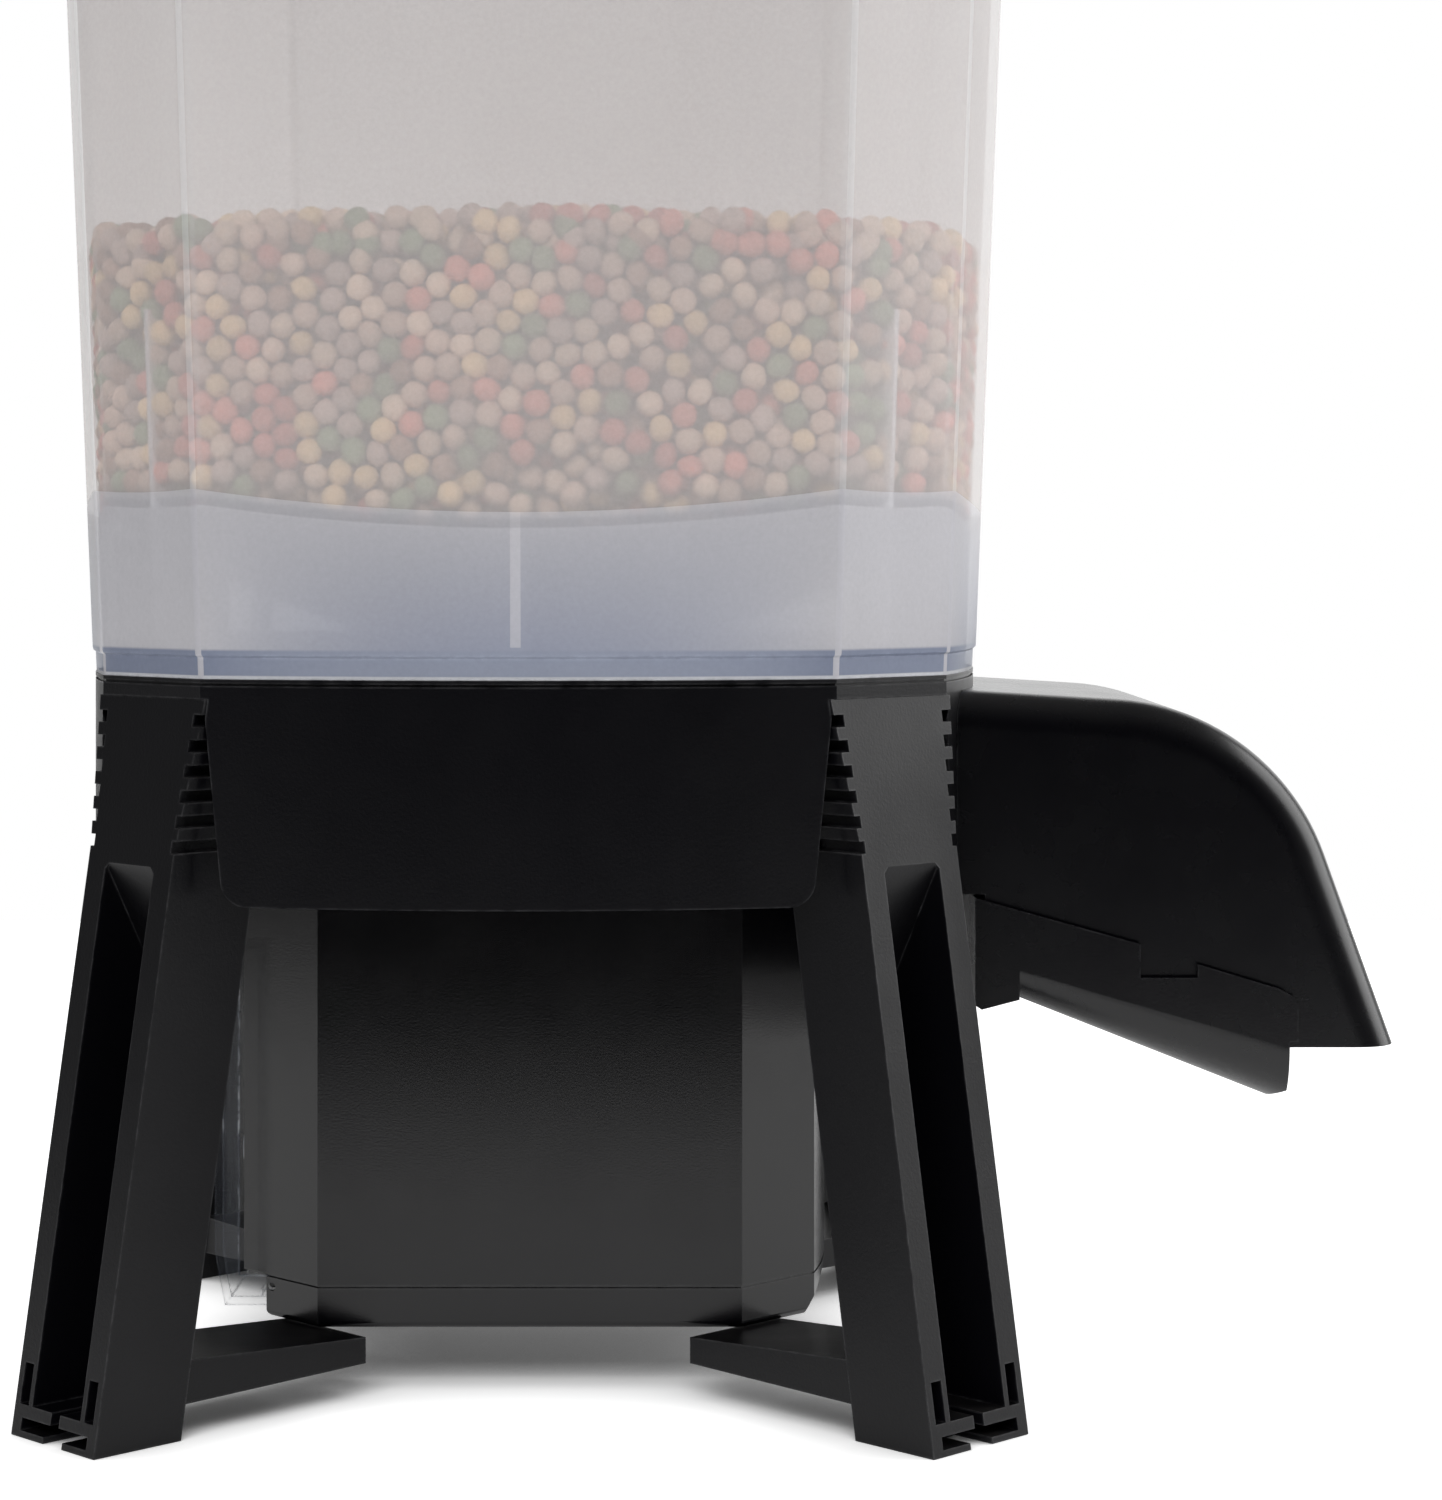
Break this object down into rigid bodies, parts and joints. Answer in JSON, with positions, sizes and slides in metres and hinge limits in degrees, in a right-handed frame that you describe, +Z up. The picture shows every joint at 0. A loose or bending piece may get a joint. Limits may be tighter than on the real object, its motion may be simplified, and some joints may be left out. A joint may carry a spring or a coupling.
{
  "type": "automatic pond fish feeder",
  "caption": "Battery pond fish feeder: frosted octagonal hopper on a splayed-leg base, auger drive, control box with clear flip cover and curved spout.",
  "frame": {"origin": "on the ground, at the centre of the four foot screw holes", "axes": "+Z up, +X towards the spout, -X towards the control panel, -Y the front"},
  "size_m": [0.3237, 0.2422, 0.409],
  "materials": {
    "frosted_pp": "frosted translucent moulding",
    "black_moulding": "satin black moulding",
    "black_casing": "semi-gloss black moulding",
    "clear_cover": "clear polished moulding",
    "grey_seal": "soft grey elastomer",
    "zinc_screw": "zinc plated",
    "steel_pin": "ground steel",
    "control_panel": "fine matt",
    "button_rubber": "matt grey",
    "display_glass": "grey-green display",
    "circuit_board": "green solder mask",
    "white_moulding": "natural acetal",
    "grey_moulding": "dark grey moulding",
    "battery_jacket": "printed metal jacket",
    "nickel_contact": "nickel plated",
    "motor_steel": "zinc plated can"
  },
  "bodies": {
    "base": {"base_housing": "black_moulding", "throat_seal": "grey_seal", "leg_screws": "zinc_screw", "control_box": "black_casing", "control_box_cap": "black_casing", "cap_screws": "zinc_screw", "deck_screws": "zinc_screw", "cover_hinge_pin": "steel_pin", "control_fascia": "control_panel", "display_lens": "clear_cover", "display_module": "display_glass", "circuit_board": "circuit_board", "button_switches": "grey_moulding", "battery_tray": "grey_moulding", "battery_cells": "battery_jacket", "battery_contacts": "nickel_contact", "battery_springs": "nickel_contact", "battery_top_plate": "grey_moulding", "auger_trough": "black_moulding", "auger_bush": "white_moulding", "shaft_seal": "grey_seal", "gearbox": "grey_moulding", "motor_can": "motor_steel", "motor_bracket": "zinc_screw", "spout_hood": "black_casing", "hood_screws": "zinc_screw", "leg_rear_right": "black_moulding", "leg_rear_left": "black_moulding", "leg_front_left": "black_moulding", "leg_front_right": "black_moulding"},
    "lid": {"lid": "black_moulding", "lid_seal": "grey_seal"},
    "hopper": {"hopper": "frosted_pp", "hopper_funnel": "frosted_pp"},
    "cover": {"clear_cover": "clear_cover"},
    "tray": {"spout_tray": "black_moulding"},
    "auger": {"auger": "white_moulding", "drive_shaft": "steel_pin"},
    "button_menu": {"button_menu": "button_rubber"},
    "button_down": {"button_down": "button_rubber"},
    "button_up": {"button_up": "button_rubber"},
    "button_enter": {"button_enter": "button_rubber"}
  },
  "joints": [
    {"name": "hopper_lift", "type": "slide", "parent": "base", "child": "hopper", "axis": [0, 0, 1], "range_m": [0, 0.06]},
    {"name": "lid_lift", "type": "slide", "parent": "hopper", "child": "lid", "axis": [0, 0, 1], "range_m": [0, 0.05]},
    {"name": "cover_flip", "type": "hinge", "parent": "base", "child": "cover", "pos_m": [-0.0624, 0, 0.0217], "axis": [0, -1, 0], "range_deg": [0, 90]},
    {"name": "tray_unclip", "type": "slide", "parent": "base", "child": "tray", "axis": [0, 0, -1], "range_m": [0, 0.06]},
    {"name": "auger_spin", "type": "hinge", "parent": "base", "child": "auger", "pos_m": [0, 0, 0.14], "axis": [1, 0, 0], "continuous": true},
    {"name": "button_menu_press", "type": "slide", "parent": "base", "child": "button_menu", "axis": [1, 0, 0], "range_m": [0, 0.0012], "stiffness_N_per_m": 400, "springref_m": -0.001},
    {"name": "button_down_press", "type": "slide", "parent": "base", "child": "button_down", "axis": [1, 0, 0], "range_m": [0, 0.0012], "stiffness_N_per_m": 400, "springref_m": -0.001},
    {"name": "button_up_press", "type": "slide", "parent": "base", "child": "button_up", "axis": [1, 0, 0], "range_m": [0, 0.0012], "stiffness_N_per_m": 400, "springref_m": -0.001},
    {"name": "button_enter_press", "type": "slide", "parent": "base", "child": "button_enter", "axis": [1, 0, 0], "range_m": [0, 0.0012], "stiffness_N_per_m": 400, "springref_m": -0.001}
  ]
}
